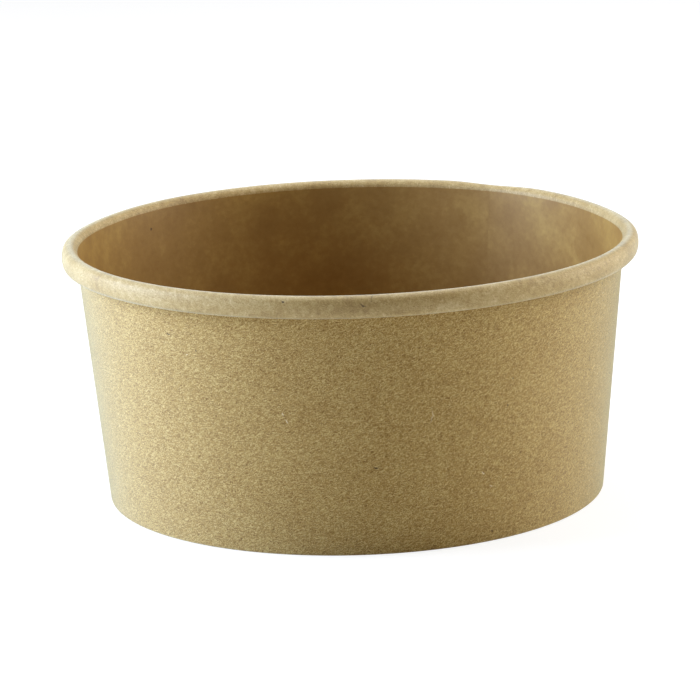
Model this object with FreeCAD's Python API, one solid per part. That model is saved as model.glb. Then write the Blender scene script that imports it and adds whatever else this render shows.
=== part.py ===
import FreeCAD, Part
import math
import os

# An open round tub of brown board. Its wall is one blank, bent round and lapped at a seam, rolled outward
# into a rim at the top and folded in and up at the foot. There it holds the down-turned skirt of the disc
# that is the floor. Millimetres and degrees. The origin is the centre of the foot on the table, with Z up.

# Overall size
RIM_DIAMETER = 150.0
BASE_DIAMETER = 130.0
HEIGHT = 68.0

# Board
WALL_BOARD = 0.42
BASE_BOARD = 0.36

# Bands that stand for each round stretch: the upper rim's quarters, the lower rim's, and the folds
CROWN_BANDS = 3
LOWER_BANDS = 2
FOLD_BANDS = 2

# Rolled rim: a crown, a fuller side, and a smaller roll below that brings the cut edge back inside
RIM_HEIGHT = 5.6
CROWN_RADIUS = 2.0
SIDE_HALF_TURN = 14.0
TUCK_TURN = 80.0
ROLL_CLEARANCE = 0.1

# Foot: the floor stands above the table on the folded edge
FLOOR_HEIGHT = 8.0
FLOOR_BEND = 0.8
HEM_CLEARANCE = 1.2
FOLD_CREASE = 0.13
SKIRT_CLEARANCE = 0.3
SEAL_GAP = 0.05

# Lapped side seam, at the back on the right
SEAM_ANGLE = 57.0
LAP_WIDTH = 8.0
STEP_WIDTH = 14.0
STEP_STATIONS = 4

# Radii of the sheet where it turns, each to the face that is outermost there
fold_radius = WALL_BOARD + FOLD_CREASE
lower_radius = CROWN_RADIUS - WALL_BOARD - ROLL_CLEARANCE / 2
straight_height = RIM_HEIGHT - CROWN_RADIUS - lower_radius
side_reach = straight_height / (2 * math.sin(math.radians(SIDE_HALF_TURN)))
side_radius = (CROWN_RADIUS + lower_radius) / 2 + side_reach

# The pocket in the folded foot takes the skirt of the floor, with a seal on each side of it
pocket_width = BASE_BOARD + 2 * SEAL_GAP

ORIGIN = FreeCAD.Vector(0, 0, 0)
UP = FreeCAD.Vector(0, 0, 1)


def direction(heading):
    angle = math.radians(heading)
    return math.cos(angle), math.sin(angle)


def beside(station, distance):
    """The point that lies the distance to the left of a station, which is (r, z, heading)."""
    r, z, heading = station
    along_r, along_z = direction(heading)
    return r - distance * along_z, z + distance * along_r


def run(stations, length):
    """Carries a path straight on for the length."""
    r, z, heading = stations[-1]
    along_r, along_z = direction(heading)
    stations.append((r + length * along_r, z + length * along_z, heading))


def bend(stations, radius, turn, bands):
    """Carries a path round through the turn, left positive, in even bands."""
    reach = math.copysign(radius, turn)
    centre_r, centre_z = beside(stations[-1], reach)
    heading = stations[-1][2]
    for band in range(1, bands + 1):
        turned = heading + turn * band / bands
        along_r, along_z = direction(turned)
        stations.append((centre_r + reach * along_z, centre_z - reach * along_r, turned))


def sheet_section(stations, right_face, left_face):
    """The closed outline of a sheet that follows the stations, between its two faces."""
    right = [beside(station, right_face) for station in stations]
    left = [beside(station, left_face) for station in reversed(stations)]
    corners = [FreeCAD.Vector(r, 0, z) for r, z in right + left]
    return Part.makePolygon(corners + corners[:1])


def crown_centre():
    rise = (side_radius - CROWN_RADIUS) * math.cos(math.radians(SIDE_HALF_TURN))
    return RIM_DIAMETER / 2 - side_radius + rise, HEIGHT - CROWN_RADIUS


def fold_centre():
    return BASE_DIAMETER / 2 - fold_radius, fold_radius


def wall_heading():
    """The heading of the wall's straight run, which touches the outer fold below and the crown above."""
    crown_r, crown_z = crown_centre()
    fold_r, fold_z = fold_centre()
    distance = math.hypot(crown_r - fold_r, crown_z - fold_z)
    slope = math.degrees(math.atan2(crown_z - fold_z, crown_r - fold_r))
    return slope + math.degrees(math.asin((fold_radius + CROWN_RADIUS - WALL_BOARD) / distance))


def wall_length():
    """The length of the straight run between its two tangent points."""
    crown_r, crown_z = crown_centre()
    fold_r, fold_z = fold_centre()
    along_r, along_z = direction(wall_heading())
    return (crown_r - fold_r) * along_r + (crown_z - fold_z) * along_z


def blank_path(lift):
    """The outer face of the blank, from the top of the hem, round the foot and up the wall to the cut edge.

    The lift shortens the wall and the hem at the foot, where a lapped ply is pressed flat with the other.
    """
    heading = wall_heading()
    along_r, along_z = direction(heading)
    lift_run = lift / along_z
    fold_r, fold_z = fold_centre()
    flat = (pocket_width - 2 * FOLD_CREASE) / along_z
    hem_foot = (fold_r - flat, fold_z, heading - 180)
    hem_foot_r, hem_foot_z = beside(hem_foot, -fold_radius)
    hem_top = FLOOR_HEIGHT - BASE_BOARD - HEM_CLEARANCE
    hem_run = (hem_top - hem_foot_z) / along_z
    hem_start = (hem_foot_r + hem_run * along_r, hem_foot_z + hem_run * along_z, heading - 180)

    stations = [hem_start]
    run(stations, hem_run - lift_run)
    bend(stations, fold_radius, 180 - heading, FOLD_BANDS)
    run(stations, flat)
    bend(stations, fold_radius, heading, FOLD_BANDS)
    run(stations, wall_length() - lift_run)
    bend(stations, CROWN_RADIUS - WALL_BOARD, -heading, CROWN_BANDS)
    bend(stations, CROWN_RADIUS - WALL_BOARD, SIDE_HALF_TURN - 90, CROWN_BANDS)
    bend(stations, side_radius - WALL_BOARD, -2 * SIDE_HALF_TURN, 2)
    bend(stations, lower_radius - WALL_BOARD, SIDE_HALF_TURN - 90, LOWER_BANDS)
    bend(stations, lower_radius - WALL_BOARD, -TUCK_TURN, LOWER_BANDS)
    return stations


def ply_section(outward):
    """The section of the blank, stepped outward by a share of its own thickness, from 0 to 1."""
    shift = outward * WALL_BOARD
    return sheet_section(blank_path(shift), -shift, WALL_BOARD - shift)


def at_angle(shape, angle):
    turned = shape.copy()
    turned.rotate(ORIGIN, UP, angle)
    return turned


def arc_degrees(width):
    return math.degrees(width / (BASE_DIAMETER / 2))


def make_side_wall():
    step_turn = arc_degrees(STEP_WIDTH)
    ring = at_angle(Part.Face(ply_section(0)), SEAM_ANGLE).revolve(ORIGIN, UP, 360 - step_turn)
    lap = at_angle(Part.Face(ply_section(1)), SEAM_ANGLE).revolve(ORIGIN, UP, arc_degrees(LAP_WIDTH))
    sections = []
    for station in range(STEP_STATIONS):
        share = station / (STEP_STATIONS - 1)
        outward = share * share * (3 - 2 * share)
        sections.append(at_angle(ply_section(outward), SEAM_ANGLE - (1 - share) * step_turn))
    step = Part.makeLoft(sections, True, True)
    return ring.fuse([step, lap]).removeSplitter()


def floor_path():
    """The upper face of the floor from its centre outward, then down the outer face of its skirt."""
    heading = wall_heading()
    along_r, along_z = direction(heading)
    skirt_r, skirt_z = beside((*fold_centre(), heading), WALL_BOARD + SEAL_GAP - fold_radius)
    bend_z = FLOOR_HEIGHT - FLOOR_BEND
    bend_r = skirt_r + (bend_z - skirt_z) * along_r / along_z - FLOOR_BEND / along_z
    skirt_end = WALL_BOARD + SKIRT_CLEARANCE

    stations = [(0, FLOOR_HEIGHT, 0)]
    run(stations, bend_r)
    bend(stations, FLOOR_BEND, heading - 180, FOLD_BANDS)
    skirt_top_z = stations[-1][1]
    run(stations, (skirt_top_z - skirt_end) / along_z)
    return stations


def make_base_disc():
    return Part.Face(sheet_section(floor_path(), -BASE_BOARD, 0)).revolve(ORIGIN, UP, 360)


def main():
    os.makedirs("parts", exist_ok=True)
    make_side_wall().exportStep("parts/side_wall.step")
    make_base_disc().exportStep("parts/base_disc.step")


main()
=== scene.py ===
import math

import bpy
from mathutils import Matrix, Vector


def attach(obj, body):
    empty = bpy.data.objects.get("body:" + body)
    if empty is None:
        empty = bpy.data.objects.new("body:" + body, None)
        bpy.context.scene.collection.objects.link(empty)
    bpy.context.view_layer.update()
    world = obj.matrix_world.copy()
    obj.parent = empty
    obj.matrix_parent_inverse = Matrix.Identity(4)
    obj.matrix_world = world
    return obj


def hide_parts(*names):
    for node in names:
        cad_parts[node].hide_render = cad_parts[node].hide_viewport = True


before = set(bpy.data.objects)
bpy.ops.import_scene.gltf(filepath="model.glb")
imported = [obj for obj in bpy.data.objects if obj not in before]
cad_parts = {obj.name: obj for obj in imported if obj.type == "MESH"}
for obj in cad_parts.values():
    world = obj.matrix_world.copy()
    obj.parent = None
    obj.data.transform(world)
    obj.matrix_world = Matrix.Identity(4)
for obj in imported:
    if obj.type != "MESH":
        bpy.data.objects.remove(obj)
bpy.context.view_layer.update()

# An open round tub of brown board, with its wall as one rolled, lapped and folded sheet.
# Lengths are in millimetres and angles in degrees until a mesh, lamp or camera is made.
MM = 0.001

# Overall size, as in the solid model
RIM_DIAMETER = 150.0
BASE_DIAMETER = 130.0
HEIGHT = 68.0
WALL_BOARD = 0.42
BASE_BOARD = 0.36

# Rolled rim
RIM_HEIGHT = 5.6
CROWN_RADIUS = 2.0
SIDE_HALF_TURN = 14.0
TUCK_TURN = 80.0
ROLL_CLEARANCE = 0.1

# Foot and floor
FLOOR_HEIGHT = 8.0
FLOOR_BEND = 0.8
HEM_CLEARANCE = 1.2
FOLD_CREASE = 0.13
SKIRT_CLEARANCE = 0.3
SEAL_GAP = 0.05

# Lapped seam. Its first edge is pressed smooth over a width, down to a share of the board's thickness.
SEAM_ANGLE = 57.0
LAP_WIDTH = 8.0
STEP_WIDTH = 14.0
PLY_GAP = 0.005
PRESSED_WIDTH = 12.0
PRESSED_SHARE = 0.01

# Where the upper wall of this tub has bowed inward a little: (angle, half width, reach)
BOWS = ((23.0, 30.0, 1.1), (154.0, 26.0, 0.6))

# Fineness of the meshes
TURN_STEP = 7.0
WALL_STEP = 2.6
RING_STATIONS = 360
STEP_STATIONS = 24
LAP_STATIONS = 8
DISC_STATIONS = 240
DISC_CENTRE = 0.5

# The board's noise: (scale per millimetre, detail, roughness), with the range that most of the mottle fills
CLOUD_NOISE = (0.09, 3.0, 0.55)
MOTTLE_NOISE = (0.55, 3.0, 0.6)
SPECK_NOISE = (3.0, 2.0, 0.7)
MOTTLE_LOW, MOTTLE_HIGH = 0.3, 0.7

# How much each part of the grain changes the tone, which runs from dark through its middle to light
TONE_MIDDLE = 0.5
MOTTLE_CONTRAST = 0.5
SPECK_CONTRAST = 1.6
PALE_CONTRAST = 0.28
DARK_CONTRAST = -0.3

# Threads in the board: (turns, length, width). They are crests of a noise drawn out along each turn.
PALE_THREADS = ((8, 67, 128), 1.7, 0.15)
DARK_THREADS = ((37, 98, 156), 1.4, 0.14)
THREAD_NOISE = {"scale": 1.0, "detail": 1.0, "roughness": 0.4, "distortion": 0.25}
THREAD_SHIFT = (13.7, 5.1, 2.0)
THREAD_THRESHOLD = 0.6
THREAD_EDGE = 0.1

# How much the threads curve, and at what scale
CURVE_REACH = 1.2
CURVE_SCALE = 0.9

# How high the specks and pale threads stand against the mottle, in a relief of this depth
SPECK_HEIGHT = 0.7
PALE_HEIGHT = 0.5
RELIEF_DEPTH = 0.03

ROUGHNESS_SPREAD = 0.06
SHEEN_ROUGHNESS = 0.45

# Single fibres and specks that show on this board: (x, y, turn, length, width) on the flat blank
DARK_OUTSIDE = (
    (210.9, 32.3, -27, 1.5, 0.34), (218.0, 26.5, -35, 0.7, 0.5), (293.1, -11.9, -62, 0.7, 0.45),
    (289.2, -17.7, -53, 0.7, 0.45), (272.9, -46.3, -53, 0.8, 0.45), (251.7, -15.8, -36, 1.5, 0.36),
)
PALE_OUTSIDE = (
    (234.8, 5.2, -87, 1.3, 0.3), (235.3, 3.4, -80, 1.5, 0.3), (269.5, -9.4, -122, 3.0, 0.22),
    (276.3, -30.4, -45, 1.0, 0.35), (277.1, -34.7, -43, 0.9, 0.35), (214.7, 26.1, -10, 0.8, 0.35),
)
DARK_INSIDE = ((103.5, 61.8, -168, 0.8, 0.6),)
DARK_ROLLED = ((266.3, 30.4, 5, 1.7, 0.42), (267.9, 27.3, 90, 3.6, 0.16), (248.3, 36.0, 18, 0.6, 0.5))
DARK_MARK = (0.09, 0.05, 0.02, 1)
PALE_MARK = (0.85, 0.74, 0.5, 1)
MARK_CORE, MARK_EDGE = 0.5, 1.2

# Names of the board's faces. The bead shows the blank's inner face, since the rim rolls outward.
OUTSIDE, INSIDE, CUT, BEAD = "kraft_outside", "kraft_inside", "kraft_cut_edge", "kraft_bead_painted_light"

# Each face's dark, middle and light tone, the strength of its clouds, mottle, fibres and relief, its gloss,
# where its noise starts on the blank, and its single fibres
LOOKS = {
    OUTSIDE: {
        "tones": ((0.24, 0.13, 0.032, 1), (0.468, 0.291, 0.08, 1), (0.70, 0.545, 0.23, 1)),
        "clouds": 0.25, "mottle": 0.5, "fibres": 1.6, "relief": 0.7,
        "roughness": 0.8, "specular": 0.18, "sheen": 0.85, "sheen_tint": (0.84, 1.0, 0.9, 1),
        "start": (0, 0, 0), "dark_marks": DARK_OUTSIDE, "pale_marks": PALE_OUTSIDE,
    },
    INSIDE: {
        "tones": ((0.23, 0.117, 0.025, 1), (0.35, 0.206, 0.056, 1), (0.55, 0.375, 0.108, 1)),
        "clouds": 0.85, "mottle": 1.0, "fibres": 0.06, "relief": 0.2,
        "roughness": 0.5, "specular": 0.3, "sheen": 0.0, "sheen_tint": (1, 1, 1, 1),
        "start": (211, 57, 9), "dark_marks": DARK_INSIDE, "pale_marks": (),
    },
    # The bead's tones are lighter than the inside's, though both are the blank's inner face: this is painted
    # light on the rolled rim.
    BEAD: {
        "tones": ((0.26, 0.15, 0.045, 1), (0.48, 0.332, 0.116, 1), (0.73, 0.59, 0.33, 1)),
        "clouds": 0.7, "mottle": 1.5, "fibres": 0.6, "relief": 0.5,
        "roughness": 0.55, "specular": 0.45, "sheen": 0.42, "sheen_tint": (0.76, 1.0, 1.0, 1),
        "start": (211, 57, 9), "dark_marks": DARK_ROLLED, "pale_marks": (),
    },
    CUT: {
        "tones": ((0.3, 0.2, 0.08, 1), (0.5, 0.36, 0.16, 1), (0.66, 0.52, 0.28, 1)),
        "clouds": 0.3, "mottle": 1.0, "fibres": 1.0, "relief": 0.8,
        "roughness": 0.9, "specular": 0.2, "sheen": 0.1, "sheen_tint": (1, 1, 1, 1),
        "start": (31, 7, 3), "dark_marks": (), "pale_marks": (),
    },
}

# Studio, in metres and watts. A lamp is (name, place, width and height, power, colour).
WHITE = (1, 1, 1, 1)
FLOOR_REACH = 3
FLOOR_PALE = (0.85, 0.85, 0.85, 1)
FLOOR_SEEN = (0.34, 0.34, 0.34, 1)
FLOOR_GLOW = 0.8
LAMP_TARGET = (0, 0, 0.03)
LAMPS = (
    ("left_box", (-0.8, 0.04, 0.3), (0.6, 0.6), 10.7, (0.91, 1.08, 1.39)),
    ("right_box", (0.78, 0.16, 0.3), (0.6, 0.6), 5.7, (1.0, 0.98, 0.92)),
    ("top_box", (0.05, 0.3, 0.9), (0.8, 0.6), 5.0, (1, 1, 1)),
)
ROOM_LIGHT = 0.12
ROOM_TINT = (1.0, 0.88, 0.7, 1)

# Camera, from the fit of the rim and foot outlines in the photograph
FOCAL_PIXELS = 3805.2286
FRAME_PIXELS = 700
SENSOR = 36.0
CAMERA_DISTANCE = 1007.4555
CAMERA_ELEVATION = 15.6556
CAMERA_PITCH = 13.6215
CAMERA_YAW = 0.0489
CAMERA_ROLL = -1.7542
CAMERA_NEAR, CAMERA_FAR = 0.05, 20

# Radii of the sheet where it turns, and the pocket in the folded foot for the floor's skirt
fold_radius = WALL_BOARD + FOLD_CREASE
lower_radius = CROWN_RADIUS - WALL_BOARD - ROLL_CLEARANCE / 2
straight_height = RIM_HEIGHT - CROWN_RADIUS - lower_radius
side_reach = straight_height / (2 * math.sin(math.radians(SIDE_HALF_TURN)))
side_radius = (CROWN_RADIUS + lower_radius) / 2 + side_reach
pocket_width = BASE_BOARD + 2 * SEAL_GAP


def direction(heading):
    angle = math.radians(heading)
    return math.cos(angle), math.sin(angle)


def beside(station, distance):
    """The point that lies the distance to the left of a station, which is (r, z, heading, run so far)."""
    along_r, along_z = direction(station[2])
    return station[0] - distance * along_z, station[1] + distance * along_r


def run(stations, length, step=math.inf):
    """Carries a path straight on for the length, in even steps."""
    r, z, heading, so_far = stations[-1]
    along_r, along_z = direction(heading)
    steps = max(1, math.ceil(length / step))
    for index in range(1, steps + 1):
        part = length * index / steps
        stations.append((r + part * along_r, z + part * along_z, heading, so_far + part))


def bend(stations, radius, turn):
    """Carries a path round through the turn, left positive."""
    reach = math.copysign(radius, turn)
    centre_r, centre_z = beside(stations[-1], reach)
    heading, so_far = stations[-1][2:]
    steps = math.ceil(abs(turn) / TURN_STEP)
    for index in range(1, steps + 1):
        turned = heading + turn * index / steps
        along_r, along_z = direction(turned)
        passed = so_far + radius * math.radians(abs(turn)) * index / steps
        stations.append((centre_r + reach * along_z, centre_z - reach * along_r, turned, passed))


def crown_centre():
    rise = (side_radius - CROWN_RADIUS) * math.cos(math.radians(SIDE_HALF_TURN))
    return RIM_DIAMETER / 2 - side_radius + rise, HEIGHT - CROWN_RADIUS


def fold_centre():
    return BASE_DIAMETER / 2 - fold_radius, fold_radius


def wall_line():
    """The heading of the wall's straight run and its length between the outer fold and the crown."""
    crown_r, crown_z = crown_centre()
    fold_r, fold_z = fold_centre()
    distance = math.hypot(crown_r - fold_r, crown_z - fold_z)
    slope = math.degrees(math.atan2(crown_z - fold_z, crown_r - fold_r))
    heading = slope + math.degrees(math.asin((fold_radius + CROWN_RADIUS - WALL_BOARD) / distance))
    along_r, along_z = direction(heading)
    return heading, (crown_r - fold_r) * along_r + (crown_z - fold_z) * along_z


def blank_path(lift):
    """The outer face of the blank from the top of its hem, round the foot, up the wall and round the roll.

    The lift shortens the wall and the hem at the foot, where a lapped ply is pressed flat with the other.
    """
    heading, length = wall_line()
    along_r, along_z = direction(heading)
    lift_run = lift / along_z
    fold_r, fold_z = fold_centre()
    flat = (pocket_width - 2 * FOLD_CREASE) / along_z
    foot_r, foot_z = beside((fold_r - flat, fold_z, heading - 180), -fold_radius)
    hem_run = (FLOOR_HEIGHT - BASE_BOARD - HEM_CLEARANCE - foot_z) / along_z

    stations = [(foot_r + hem_run * along_r, foot_z + hem_run * along_z, heading - 180, 0.0)]
    run(stations, hem_run - lift_run, WALL_STEP)
    bend(stations, fold_radius, 180 - heading)
    run(stations, flat)
    bend(stations, fold_radius, heading)
    run(stations, length - lift_run, WALL_STEP)
    bend(stations, CROWN_RADIUS - WALL_BOARD, -heading)
    bend(stations, CROWN_RADIUS - WALL_BOARD, SIDE_HALF_TURN - 90)
    bend(stations, side_radius - WALL_BOARD, -SIDE_HALF_TURN)
    bend(stations, side_radius - WALL_BOARD, -SIDE_HALF_TURN)
    bend(stations, lower_radius - WALL_BOARD, SIDE_HALF_TURN - 90)
    bend(stations, lower_radius - WALL_BOARD, -TUCK_TURN)
    return stations


def floor_path():
    """The upper face of the floor from near its centre outward, then down the outer face of its skirt."""
    heading = wall_line()[0]
    along_r, along_z = direction(heading)
    skirt_r, skirt_z = beside((*fold_centre(), heading), WALL_BOARD + SEAL_GAP - fold_radius)
    bend_z = FLOOR_HEIGHT - FLOOR_BEND
    bend_r = skirt_r + (bend_z - skirt_z) * along_r / along_z - FLOOR_BEND / along_z
    stations = [(DISC_CENTRE, FLOOR_HEIGHT, 0, DISC_CENTRE)]
    run(stations, bend_r - DISC_CENTRE, WALL_STEP)
    bend(stations, FLOOR_BEND, heading - 180)
    run(stations, (stations[-1][1] - WALL_BOARD - SKIRT_CLEARANCE) / along_z, WALL_STEP)
    return stations


def arc_degrees(width):
    return math.degrees(width / (BASE_DIAMETER / 2))


def smooth(share):
    share = min(max(share, 0.0), 1.0)
    return share * share * (3 - 2 * share)


def pressed_board(angle):
    """The board's thickness, which thins towards its first edge, where the hot seam was pressed smooth."""
    thinned = PRESSED_SHARE + (1 - PRESSED_SHARE) * smooth(angle / arc_degrees(PRESSED_WIDTH))
    return WALL_BOARD * thinned


def seam_stations():
    """(angle from the seam, share of the board that the sheet has stepped outward) all along the blank."""
    step, lap, pressed = arc_degrees(STEP_WIDTH), arc_degrees(LAP_WIDTH), arc_degrees(PRESSED_WIDTH)
    stations = [(pressed * index / LAP_STATIONS, 0.0) for index in range(LAP_STATIONS)]
    for index in range(RING_STATIONS):
        stations.append((pressed + (360 - step - pressed) * index / RING_STATIONS, 0.0))
    for index in range(STEP_STATIONS):
        share = index / STEP_STATIONS
        stations.append((360 - step + step * share, smooth(share)))
    for index in range(LAP_STATIONS + 1):
        stations.append((360 + lap * index / LAP_STATIONS, 1.0))
    return stations


def bow_in(r, z, angle):
    """A made tub's rim isn't quite true: here and there the upper wall leans in a little."""
    lean = (z / HEIGHT) ** 2
    for middle, half_width, reach in BOWS:
        off = abs((angle - middle + 180) % 360 - 180)
        r -= reach * lean * smooth(1 - off / half_width)
    return r


def fan_point(angle, along):
    """Where a point of the wall lies on the flat fan-shaped blank."""
    heading = wall_line()[0]
    apex = BASE_DIAMETER / 2 / math.cos(math.radians(heading))
    spread = math.radians(angle) * math.cos(math.radians(heading))
    reach = apex + along
    return reach * math.sin(spread), reach * math.cos(spread) - apex


class Board:
    """Gathers the mesh of one piece of board: rings of section points, and faces named for their look."""

    def __init__(self, count):
        self.count = count
        self.vertices, self.blank, self.faces, self.looks, self.sharp = [], [], [], [], []

    def add_ring(self, points, blank_points):
        self.vertices += points
        self.blank += blank_points

    def at(self, *places):
        return [ring * self.count + index for ring, index in places]

    def add_face(self, corners, look):
        self.faces.append(corners)
        self.looks.append(look)

    def crease(self, *places):
        """Keeps the edge between two places crisp under smooth shading."""
        self.sharp.append(frozenset(self.at(*places)))

    def finish(self, name, looks, materials):
        """A smooth-shaded piece whose UV map is the flat blank in millimetres."""
        mesh = bpy.data.meshes.new(name)
        mesh.from_pydata([tuple(value * MM for value in vertex) for vertex in self.vertices], [], self.faces)
        for look in looks:
            mesh.materials.append(materials[look])
        mesh.polygons.foreach_set("material_index", [looks.index(look) for look in self.looks])
        mesh.polygons.foreach_set("use_smooth", [True] * len(self.faces))
        corners = [self.blank[at] for face in self.faces for at in face]
        layer = mesh.uv_layers.new(name="board")
        layer.data.foreach_set("uv", [value for corner in corners for value in corner])
        wanted = set(self.sharp)
        flags = [frozenset(edge.vertices) in wanted for edge in mesh.edges]
        mesh.attributes.new("sharp_edge", "BOOLEAN", "EDGE").data.foreach_set("value", flags)
        mesh.validate()
        mesh.update()
        piece = bpy.data.objects.new(name, mesh)
        bpy.context.scene.collection.objects.link(piece)
        return piece


def count_rolled(path):
    """How many stations at the path's end lie in the rolled rim, past the wall's straight run."""
    heading = wall_line()[0]
    return sum(1 for station in path if station[2] < heading - TURN_STEP / 2 and station[1] > HEIGHT / 2)


def wall_look(index, half, count, rolled):
    """The look of a band of the wall's section: the outer face comes first, then the cut, bead and inside."""
    if index < half - 1:
        return OUTSIDE
    if half <= index < half + rolled:
        return BEAD
    return INSIDE if half <= index < count - 1 else CUT


def add_wall_ring(wall, angle, share):
    """Section points at one station: the outer face from hem to roll, then the inner face back again."""
    shift = share * (WALL_BOARD + PLY_GAP)
    path = blank_path(shift)
    inner = pressed_board(angle) - shift
    right = [beside(station, -shift) for station in path]
    left = [beside(station, inner) for station in reversed(path)]
    turn = math.radians(SEAM_ANGLE + angle)
    points = []
    for r, z in right + left:
        r = bow_in(r, z, SEAM_ANGLE + angle)
        points.append((r * math.cos(turn), r * math.sin(turn), z))
    along = [station[3] for station in path]
    wall.add_ring(points, [fan_point(angle, length) for length in along + along[::-1]])


def add_wall_end(wall, ring, half):
    """Closes the sheet at one of its two lapped edges."""
    count = wall.count
    for index in range(half - 1):
        outer, next_outer, next_inner, inner = index, index + 1, count - 2 - index, count - 1 - index
        corners = wall.at((ring, outer), (ring, next_outer), (ring, next_inner), (ring, inner))
        wall.add_face(corners[::-1] if ring else corners, CUT)
        wall.crease((ring, outer), (ring, next_outer))
        wall.crease((ring, inner), (ring, next_inner))


def make_side_wall(materials):
    stations = seam_stations()
    path = blank_path(0)
    half, rolled = len(path), count_rolled(path)
    count = 2 * half
    wall = Board(count)
    for angle, share in stations:
        add_wall_ring(wall, angle, share)
    last = len(stations) - 1
    for ring in range(last):
        for index in range(count):
            follows = (index + 1) % count
            corners = wall.at((ring, index), (ring + 1, index), (ring + 1, follows), (ring, follows))
            wall.add_face(corners, wall_look(index, half, count, rolled))
            if index in (half - 1, count - 1):
                wall.crease((ring, index), (ring + 1, index))
                wall.crease((ring, follows), (ring + 1, follows))
    for ring in (0, last):
        add_wall_end(wall, ring, half)
    return wall.finish("board_wall", (OUTSIDE, INSIDE, CUT, BEAD), materials)


def make_base_disc(materials):
    path = floor_path()
    section = [beside(station, 0) for station in path]
    section += [beside(station, -BASE_BOARD) for station in reversed(path)]
    along = [station[3] for station in path]
    along += along[::-1]
    count, half = len(section), len(path)
    disc = Board(count)
    for ring in range(DISC_STATIONS):
        turn = 2 * math.pi * ring / DISC_STATIONS
        points = [(r * math.cos(turn), r * math.sin(turn), z) for r, z in section]
        disc.add_ring(points, [(reach * math.cos(turn), reach * math.sin(turn)) for reach in along])
    for ring in range(DISC_STATIONS):
        following = (ring + 1) % DISC_STATIONS
        for index in range(count - 1):
            corners = disc.at((ring, index + 1), (following, index + 1), (following, index), (ring, index))
            disc.add_face(corners, CUT if index == half - 1 else INSIDE)
        disc.crease((ring, half - 1), (following, half - 1))
        disc.crease((ring, half), (following, half))
    rim = disc.at(*((ring, 0) for ring in range(DISC_STATIONS)))
    disc.add_face(rim, INSIDE)
    rim = disc.at(*((ring, count - 1) for ring in range(DISC_STATIONS)))
    disc.add_face(rim[::-1], INSIDE)
    return disc.finish("board_floor", (INSIDE, CUT), materials)


class Nodes:
    """Adds and links the nodes of one tree."""

    def __init__(self, tree):
        self.tree = tree
        self.tree.nodes.clear()

    def feed(self, socket, value):
        """Links a socket to another one, or sets it to a plain value."""
        if isinstance(value, bpy.types.NodeSocket):
            self.tree.links.new(value, socket)
        else:
            socket.default_value = value

    def add(self, kind, inputs=None, **settings):
        node = self.tree.nodes.new(kind)
        for setting, value in settings.items():
            setattr(node, setting, value)
        for name, value in (inputs or {}).items():
            self.feed(node.inputs[name], value)
        return node

    def noise(self, vector, scale, detail, roughness, distortion=0.0):
        inputs = {"Vector": vector, "Scale": scale, "Detail": detail, "Roughness": roughness}
        inputs["Distortion"] = distortion
        return self.add("ShaderNodeTexNoise", inputs, noise_dimensions="3D").outputs["Fac"]

    def number(self, operation, *values):
        return self.add("ShaderNodeMath", dict(enumerate(values)), operation=operation).outputs[0]

    def vector(self, operation, inputs, output=0):
        return self.add("ShaderNodeVectorMath", inputs, operation=operation).outputs[output]

    def span(self, value, low, high, to_low=0.0, to_high=1.0):
        inputs = {"Value": value, "From Min": low, "From Max": high, "To Min": to_low, "To Max": to_high}
        return self.add("ShaderNodeMapRange", inputs, clamp=True).outputs["Result"]

    def mapped(self, vector, place, turn=0.0, scale=(1, 1, 1), kind="POINT"):
        inputs = {"Vector": vector, "Location": place, "Rotation": (0, 0, math.radians(turn)), "Scale": scale}
        return self.add("ShaderNodeMapping", inputs, vector_type=kind).outputs["Vector"]

    def mix(self, factor, first, second):
        inputs = {0: factor, 6: first, 7: second}
        return self.add("ShaderNodeMix", inputs, data_type="RGBA").outputs[2]

    def output(self, kind, shader):
        self.add(kind, {"Surface": shader})


def material_nodes(name):
    material = bpy.data.materials.new(name)
    material.use_nodes = True
    return material, Nodes(material.node_tree)


def threads(nodes, board, turns, length, width):
    """Short threads lying at the given turns: noise drawn out along each, with only its crests kept."""
    found = None
    for index, turn in enumerate(turns):
        place = [shift * index for shift in THREAD_SHIFT]
        stretched = nodes.mapped(board, place, turn, (1 / length, 1 / width, 1))
        noise = nodes.noise(stretched, **THREAD_NOISE)
        crest = nodes.span(noise, THREAD_THRESHOLD, THREAD_THRESHOLD + THREAD_EDGE)
        found = crest if found is None else nodes.number("MAXIMUM", found, crest)
    return found


def flecks(nodes, board, marks):
    """Where single fibres lie, each a soft-edged thread of its own."""
    found = 0.0
    for x, y, turn, length, width in marks:
        local = nodes.mapped(board, (x, y, 0), turn, (length / 2, width / 2, 1), "TEXTURE")
        reach = nodes.vector("LENGTH", {0: local}, "Value")
        found = nodes.number("MAXIMUM", nodes.span(reach, MARK_CORE, MARK_EDGE, 1.0, 0.0), found)
    return found


def curved(nodes, board):
    """The board's coordinates, shifted a little here and there so that threads curve."""
    noise = nodes.add("ShaderNodeTexNoise", {"Vector": board, "Scale": CURVE_SCALE, "Detail": 1.0})
    centred = nodes.vector("SUBTRACT", {0: noise.outputs["Color"], 1: (0.5, 0.5, 0.5)})
    shift = nodes.vector("SCALE", {0: centred, 3: CURVE_REACH})
    return nodes.vector("ADD", {0: board, 1: shift})


def board_tone(nodes, grain, look):
    """How light the board is at a point: 0 is dark and 1 is light."""
    tone = TONE_MIDDLE
    for noise, contrast in (
        (grain["cloud"], look["clouds"]),
        (grain["mottle"], MOTTLE_CONTRAST * look["mottle"]),
        (grain["speck"], SPECK_CONTRAST * look["fibres"]),
    ):
        tone = nodes.number("MULTIPLY_ADD", nodes.number("SUBTRACT", noise, 0.5), contrast, tone)
    tone = nodes.number("MULTIPLY_ADD", grain["pale"], PALE_CONTRAST * look["fibres"], tone)
    return nodes.number("MULTIPLY_ADD", grain["dark"], DARK_CONTRAST * look["fibres"], tone)


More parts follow.
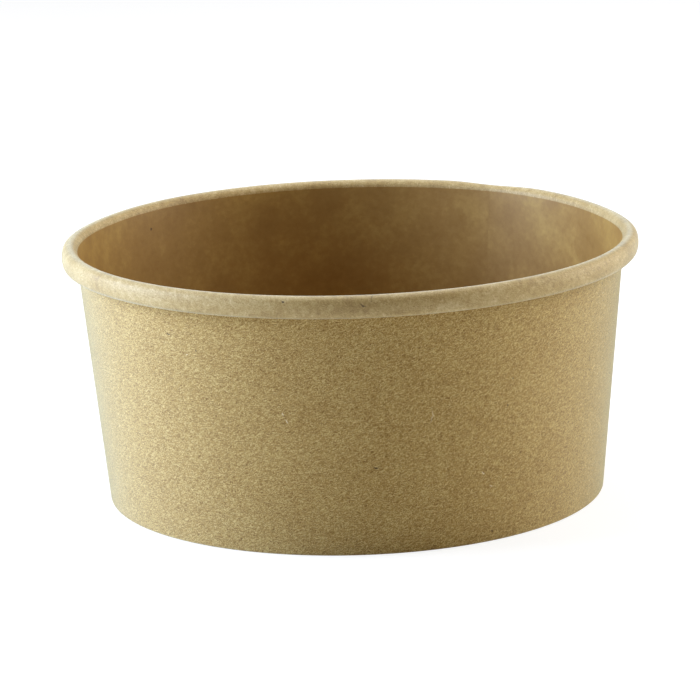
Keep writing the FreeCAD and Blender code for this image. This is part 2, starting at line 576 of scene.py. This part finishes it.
def board_colour(nodes, blank, tone, look):
    dark, middle, light = look["tones"]
    low = nodes.mix(nodes.span(tone, 0.0, TONE_MIDDLE), dark, middle)
    colour = nodes.mix(nodes.span(tone, TONE_MIDDLE, 1.0), low, light)
    for marks, mark_colour in ((look["dark_marks"], DARK_MARK), (look["pale_marks"], PALE_MARK)):
        if marks:
            colour = nodes.mix(flecks(nodes, blank, marks), colour, mark_colour)
    return colour


def board_material(name):
    """Brown board with clouds, mottle, specks and threads, as its look says."""
    look = LOOKS[name]
    material, nodes = material_nodes(name)
    blank = curved(nodes, nodes.add("ShaderNodeUVMap", uv_map="board").outputs["UV"])
    board = nodes.mapped(blank, look["start"])
    grain = {
        "cloud": nodes.noise(board, *CLOUD_NOISE),
        "mottle": nodes.noise(board, *MOTTLE_NOISE),
        "speck": nodes.noise(board, *SPECK_NOISE),
        "pale": threads(nodes, board, *PALE_THREADS),
        "dark": threads(nodes, board, *DARK_THREADS),
    }
    height = nodes.number("MULTIPLY_ADD", grain["pale"], PALE_HEIGHT, grain["mottle"])
    height = nodes.number("MULTIPLY_ADD", grain["speck"], SPECK_HEIGHT, height)
    relief = {"Strength": look["relief"], "Distance": RELIEF_DEPTH * MM, "Height": height}
    smoothest, roughest = look["roughness"] - ROUGHNESS_SPREAD, look["roughness"] + ROUGHNESS_SPREAD
    shader = nodes.add("ShaderNodeBsdfPrincipled", {
        "Base Color": board_colour(nodes, blank, board_tone(nodes, grain, look), look),
        "Roughness": nodes.span(grain["mottle"], MOTTLE_LOW, MOTTLE_HIGH, smoothest, roughest),
        "Normal": nodes.add("ShaderNodeBump", relief).outputs["Normal"],
        "Specular IOR Level": look["specular"],
        "Sheen Weight": look["sheen"], "Sheen Roughness": SHEEN_ROUGHNESS, "Sheen Tint": look["sheen_tint"],
    })
    nodes.output("ShaderNodeOutputMaterial", shader.outputs["BSDF"])
    return material


def seen_directly(nodes):
    """1 for a ray from the camera, straight or off something glossy or clear, and 0 for the rest."""
    path = nodes.add("ShaderNodeLightPath").outputs
    seen = nodes.number("MAXIMUM", path["Is Camera Ray"], path["Is Glossy Ray"])
    return nodes.number("MAXIMUM", seen, path["Is Transmission Ray"])


def floor_material():
    """A pale matt floor that looks white to the camera, keeps a soft shadow and is clear from below."""
    material, nodes = material_nodes("studio_floor")
    seen = seen_directly(nodes)
    matt = nodes.add("ShaderNodeBsdfDiffuse", {"Color": nodes.mix(seen, FLOOR_PALE, FLOOR_SEEN)})
    strength = nodes.number("MULTIPLY", seen, FLOOR_GLOW)
    glow = nodes.add("ShaderNodeEmission", {"Color": WHITE, "Strength": strength})
    both = nodes.add("ShaderNodeAddShader", {0: matt.outputs[0], 1: glow.outputs[0]})
    below = nodes.add("ShaderNodeNewGeometry").outputs["Backfacing"]
    clear = nodes.add("ShaderNodeBsdfTransparent")
    sided = nodes.add("ShaderNodeMixShader", {0: below, 1: both.outputs[0], 2: clear.outputs[0]})
    nodes.output("ShaderNodeOutputMaterial", sided.outputs[0])
    return material


def make_floor():
    far = FLOOR_REACH
    mesh = bpy.data.meshes.new("studio_floor")
    mesh.from_pydata([(-far, -far, 0), (far, -far, 0), (far, far, 0), (-far, far, 0)], [], [(0, 1, 2, 3)])
    mesh.materials.append(floor_material())
    floor = bpy.data.objects.new("studio_floor", mesh)
    bpy.context.scene.collection.objects.link(floor)


def make_lamp(name, place, size, power, colour):
    """A soft box that faces the tub and isn't seen itself."""
    lamp = bpy.data.lights.new(name, "AREA")
    lamp.shape = "RECTANGLE"
    lamp.size, lamp.size_y = size
    lamp.energy = power
    lamp.color = colour
    item = bpy.data.objects.new(name, lamp)
    item.location = place
    item.visible_camera = False
    item.rotation_euler = (Vector(LAMP_TARGET) - Vector(place)).to_track_quat("-Z", "Y").to_euler()
    bpy.context.scene.collection.objects.link(item)


def make_room():
    """A pale room: soft light all round, and white where the camera or a gloss looks into it."""
    world = bpy.data.worlds.new("studio")
    world.use_nodes = True
    nodes = Nodes(world.node_tree)
    seen = seen_directly(nodes)
    room = {"Color": nodes.mix(seen, ROOM_TINT, WHITE), "Strength": nodes.span(seen, 0, 1, ROOM_LIGHT, 1)}
    nodes.output("ShaderNodeOutputWorld", nodes.add("ShaderNodeBackground", room).outputs[0])
    bpy.context.scene.world = world


def make_camera():
    data = bpy.data.cameras.new("camera")
    data.sensor_width = SENSOR
    data.lens = SENSOR * FOCAL_PIXELS / FRAME_PIXELS
    data.clip_start, data.clip_end = CAMERA_NEAR, CAMERA_FAR
    camera = bpy.data.objects.new("camera", data)
    level = Matrix(((1, 0, 0), (0, 0, -1), (0, 1, 0)))
    turned = Matrix.Rotation(math.radians(CAMERA_ROLL), 3, "Z")
    turned = turned @ Matrix.Rotation(math.radians(CAMERA_PITCH), 3, "X")
    turned = turned @ Matrix.Rotation(math.radians(CAMERA_YAW), 3, "Y") @ level
    right, down, forward = turned
    axes = Matrix((right, -down, -forward)).transposed()
    away, up = direction(CAMERA_ELEVATION)
    place = Vector((0, -CAMERA_DISTANCE * away * MM, CAMERA_DISTANCE * up * MM))
    camera.matrix_world = Matrix.Translation(place) @ axes.to_4x4()
    bpy.context.scene.collection.objects.link(camera)
    bpy.context.scene.camera = camera


def main():
    bpy.context.scene.view_settings.view_transform = "Standard"
    materials = {name: board_material(name) for name in LOOKS}
    wall = make_side_wall(materials)
    disc = make_base_disc(materials)
    for piece, node, slot in ((wall, "side_wall", "kraft_board"), (disc, "base_disc", "kraft_base_board")):
        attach(piece, "root")
        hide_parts(node)
    make_floor()
    for lamp in LAMPS:
        make_lamp(*lamp)
    make_room()
    make_camera()


main()
